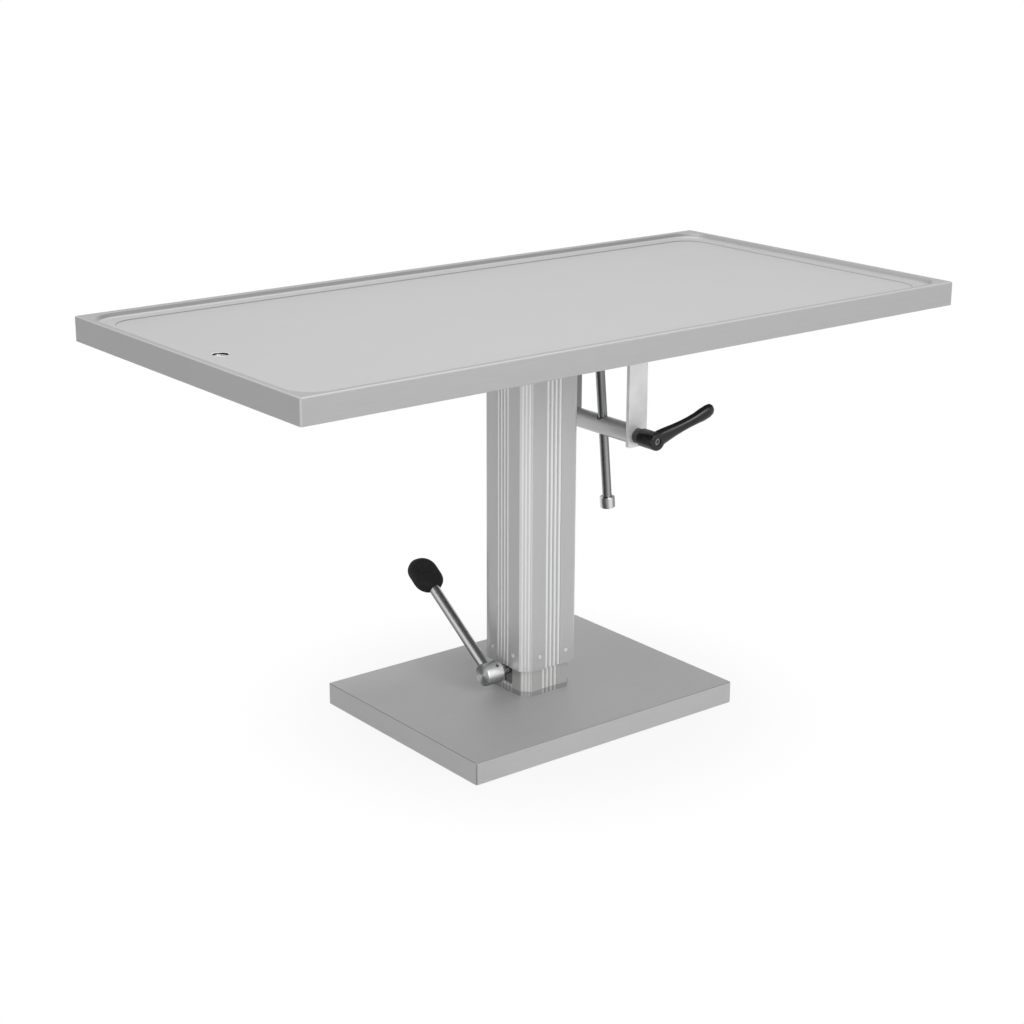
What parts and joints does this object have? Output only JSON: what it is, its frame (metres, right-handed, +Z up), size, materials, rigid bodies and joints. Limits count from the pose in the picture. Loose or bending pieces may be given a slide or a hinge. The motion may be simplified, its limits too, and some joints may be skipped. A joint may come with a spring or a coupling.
{
  "type": "veterinary exam table",
  "caption": "Stainless steel exam table with a rimmed, drained top that tilts on a telescopic hydraulic column, with a foot lever and a clamped tilt rod.",
  "frame": {"origin": "on the floor under the middle of the table top", "axes": "+X along the top towards the tilt lock, +Y across the top away from the clamp lever, +Z up"},
  "size_m": [1.3, 0.65, 0.71],
  "materials": {
    "brushed_stainless": "brushed sheet steel",
    "satin_aluminium": "satin anodised extrusion",
    "light_plate": "light grey satin plate",
    "bright_steel": "polished steel",
    "dark_steel": "dark oxide steel",
    "cast_grey": "grey cast metal",
    "white_plastic": "white plastic",
    "black_plastic": "gloss black plastic",
    "black_rubber": "matt black rubber"
  },
  "bodies": {
    "base": {"base_cover": "brushed_stainless", "base_slab": "cast_grey", "foot_front_left": "black_rubber", "foot_front_right": "black_rubber", "foot_back_left": "black_rubber", "foot_back_right": "black_rubber", "column_foot_plate": "cast_grey", "column_bolt_1": "dark_steel", "column_bolt_2": "dark_steel", "column_bolt_3": "dark_steel", "column_bolt_4": "dark_steel", "inner_column": "satin_aluminium", "upper_glide_collar": "white_plastic", "pump_block": "cast_grey", "hydraulic_cylinder": "dark_steel", "cylinder_gland": "bright_steel"},
    "pump_pedal": {"pump_shaft": "bright_steel", "crank_arm": "dark_steel", "lever_hub": "bright_steel", "hub_set_screw": "dark_steel", "lever_rod": "bright_steel", "pedal_pad": "black_rubber"},
    "pump_plunger": {"pump_plunger": "bright_steel", "plunger_spring": "bright_steel"},
    "lift_column": {"outer_column": "satin_aluminium", "glide_pad_front": "white_plastic", "glide_pad_back": "white_plastic", "glide_pad_left": "white_plastic", "glide_pad_right": "white_plastic", "column_head": "satin_aluminium", "head_screw_front": "dark_steel", "head_screw_back": "dark_steel", "head_screw_left": "dark_steel", "head_screw_right": "dark_steel", "lift_ram": "bright_steel", "ram_bolt": "dark_steel", "side_plate_front": "light_plate", "side_plate_back": "light_plate", "plate_screw_front_left": "dark_steel", "plate_screw_front_right": "dark_steel", "plate_screw_back_left": "dark_steel", "plate_screw_back_right": "dark_steel", "tilt_bush_front": "white_plastic", "tilt_bush_back": "white_plastic"},
    "cross_bar": {"cross_bar": "satin_aluminium", "bar_retainer": "dark_steel"},
    "clamp": {"clamp_insert": "dark_steel", "clamp_screw": "dark_steel"},
    "clamp_handle": {"clamp_handle": "black_plastic"},
    "tabletop": {"table_pan": "brushed_stainless", "hinge_rail_front": "brushed_stainless", "hinge_rail_back": "brushed_stainless", "rod_bracket": "brushed_stainless", "rod_pivot_pin": "bright_steel", "tilt_shaft": "bright_steel", "drain_fitting": "bright_steel", "drain_nut": "bright_steel"},
    "tilt_rod": {"tilt_rod": "bright_steel", "rod_end_nut": "bright_steel"}
  },
  "joints": [
    {"name": "column_lift", "type": "slide", "parent": "base", "child": "lift_column", "axis": [0, 0, 1], "range_m": [0, 0.3]},
    {"name": "table_tilt", "type": "hinge", "parent": "lift_column", "child": "tabletop", "pos_m": [0, 0, 0.64], "axis": [0, -1, 0], "range_deg": [0, 25]},
    {"name": "rod_swing", "type": "hinge", "parent": "tabletop", "child": "tilt_rod", "pos_m": [0.1395, 0, 0.655], "axis": [0, -1, 0], "range_deg": [-23, 1]},
    {"name": "bar_roll", "type": "hinge", "parent": "lift_column", "child": "cross_bar", "pos_m": [0.156, 0, 0.472], "axis": [0, -1, 0], "range_deg": [-1, 4]},
    {"name": "clamp_turn", "type": "hinge", "parent": "cross_bar", "child": "clamp", "pos_m": [0.156, 0, 0.472], "axis": [0, -1, 0], "range_deg": [0, 100]},
    {"name": "handle_pull", "type": "slide", "parent": "clamp", "child": "clamp_handle", "axis": [0, -1, 0], "range_m": [0, 0.004], "stiffness_N_per_m": 2000, "springref_m": -0.003},
    {"name": "pump_lever", "type": "hinge", "parent": "base", "child": "pump_pedal", "pos_m": [0, 0, 0.078], "axis": [-1, 0, 0], "range_deg": [0, 32], "stiffness_Nm_per_rad": 4, "springref_deg": -34.38},
    {"name": "plunger_stroke", "type": "slide", "parent": "base", "child": "pump_plunger", "axis": [0, 0, -1], "range_m": [0, 0.0085], "deforming": ["plunger_spring"]}
  ],
  "couplings": [
    {"joint": "rod_swing", "follows": "table_tilt", "ratio": -0.8845},
    {"joint": "bar_roll", "follows": "table_tilt", "ratio": 0.1155},
    {"joint": "plunger_stroke", "follows": "pump_lever", "m_per_rad": 0.014312}
  ]
}
